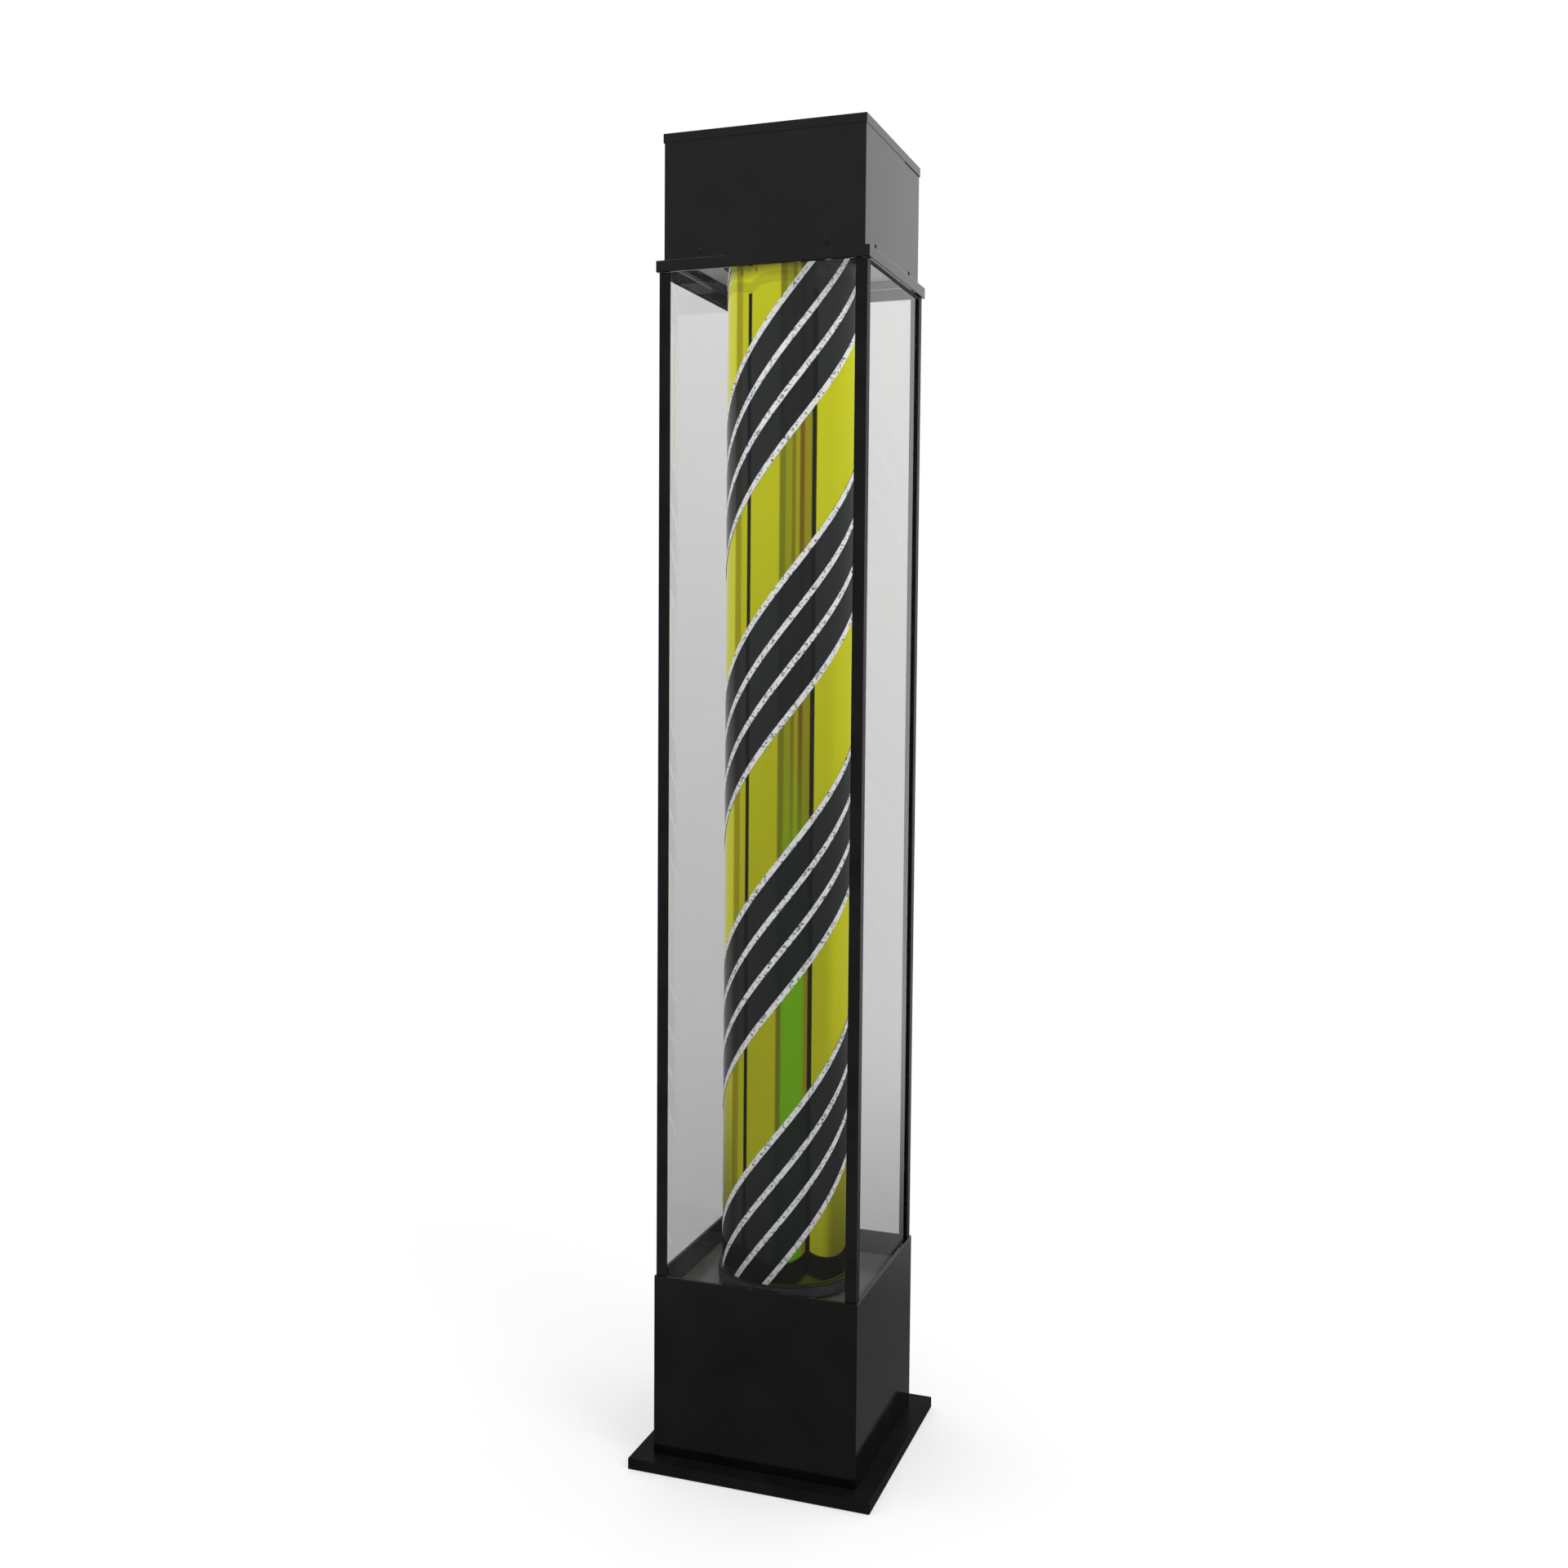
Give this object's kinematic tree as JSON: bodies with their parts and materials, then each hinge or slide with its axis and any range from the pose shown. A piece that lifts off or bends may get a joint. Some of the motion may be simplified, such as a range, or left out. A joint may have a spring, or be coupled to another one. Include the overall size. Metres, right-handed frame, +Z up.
{
  "type": "barber pole light",
  "caption": "Floor-standing square light column: base and head in gloss black, clear side panels, and a mirror-film drum with a helical band that turns about the upright axis.",
  "frame": {"origin": "centre of the underside of the base plate, on the floor", "axes": "+Z up along the drum's axis, -Y towards the front face, +X to the right seen from the front"},
  "size_m": [0.285, 0.285, 1.4967],
  "materials": {
    "black": "gloss black powder coat",
    "satin": "satin black powder coat",
    "deck": "satin dark grey",
    "ceiling": "satin pale grey",
    "clear": "clear acrylic, polished",
    "tube": "clear acrylic tube",
    "film": "mirror-like yellow-green film",
    "band": "gloss black with silver glitter lines",
    "hub": "moulded",
    "zinc": "zinc plated",
    "motor": "plain steel can",
    "core": "extruded",
    "led": "coated strip, off",
    "white": "moulded",
    "plastic": "moulded, fine grain",
    "brass": "nickel-plated"
  },
  "bodies": {
    "case": {"base_plate": "satin", "base_housing": "black", "deck_plate": "deck", "post_front_left": "satin", "post_front_right": "satin", "post_back_left": "satin", "post_back_right": "satin", "panel_front": "clear", "panel_right": "clear", "panel_back": "clear", "panel_left": "clear", "collar": "black", "top_housing": "black", "ceiling_plate": "ceiling", "top_lid": "black", "head_screw_front_1": "black", "head_screw_front_2": "black", "head_screw_right_1": "black", "head_screw_right_2": "black", "head_screw_back_1": "black", "head_screw_back_2": "black", "head_screw_left_1": "black", "head_screw_left_2": "black", "motor_bracket": "zinc", "thrust_bearing": "zinc", "gearbox": "motor", "drive_motor": "motor", "lamp_bracket": "zinc", "lamp_core": "core", "lamp_nut": "zinc", "lamp_bush": "plastic", "led_strip_1": "led", "led_strip_2": "led", "led_strip_3": "led", "led_strip_4": "led", "led_driver": "white", "terminal_block": "white", "switch_bezel": "plastic", "power_inlet": "plastic", "inlet_pin_earth": "brass", "inlet_pin_live": "brass", "inlet_pin_neutral": "brass"},
    "drum": {"drum_tube": "tube", "film_wrap": "film", "helix_band_1": "band", "helix_band_2": "band", "foot_ring": "plastic", "drum_lower_hub": "hub", "drum_upper_hub": "hub", "output_shaft": "zinc"},
    "rocker": {"switch_rocker": "plastic"}
  },
  "joints": [
    {"name": "drum_spin", "type": "hinge", "parent": "case", "child": "drum", "pos_m": [0, 0, 0.2], "axis": [0, 0, 1], "continuous": true},
    {"name": "switch_rock", "type": "hinge", "parent": "case", "child": "rocker", "pos_m": [-0.045, 0.1165, 0.06], "axis": [1, 0, 0], "range_deg": [-16, 0]}
  ]
}
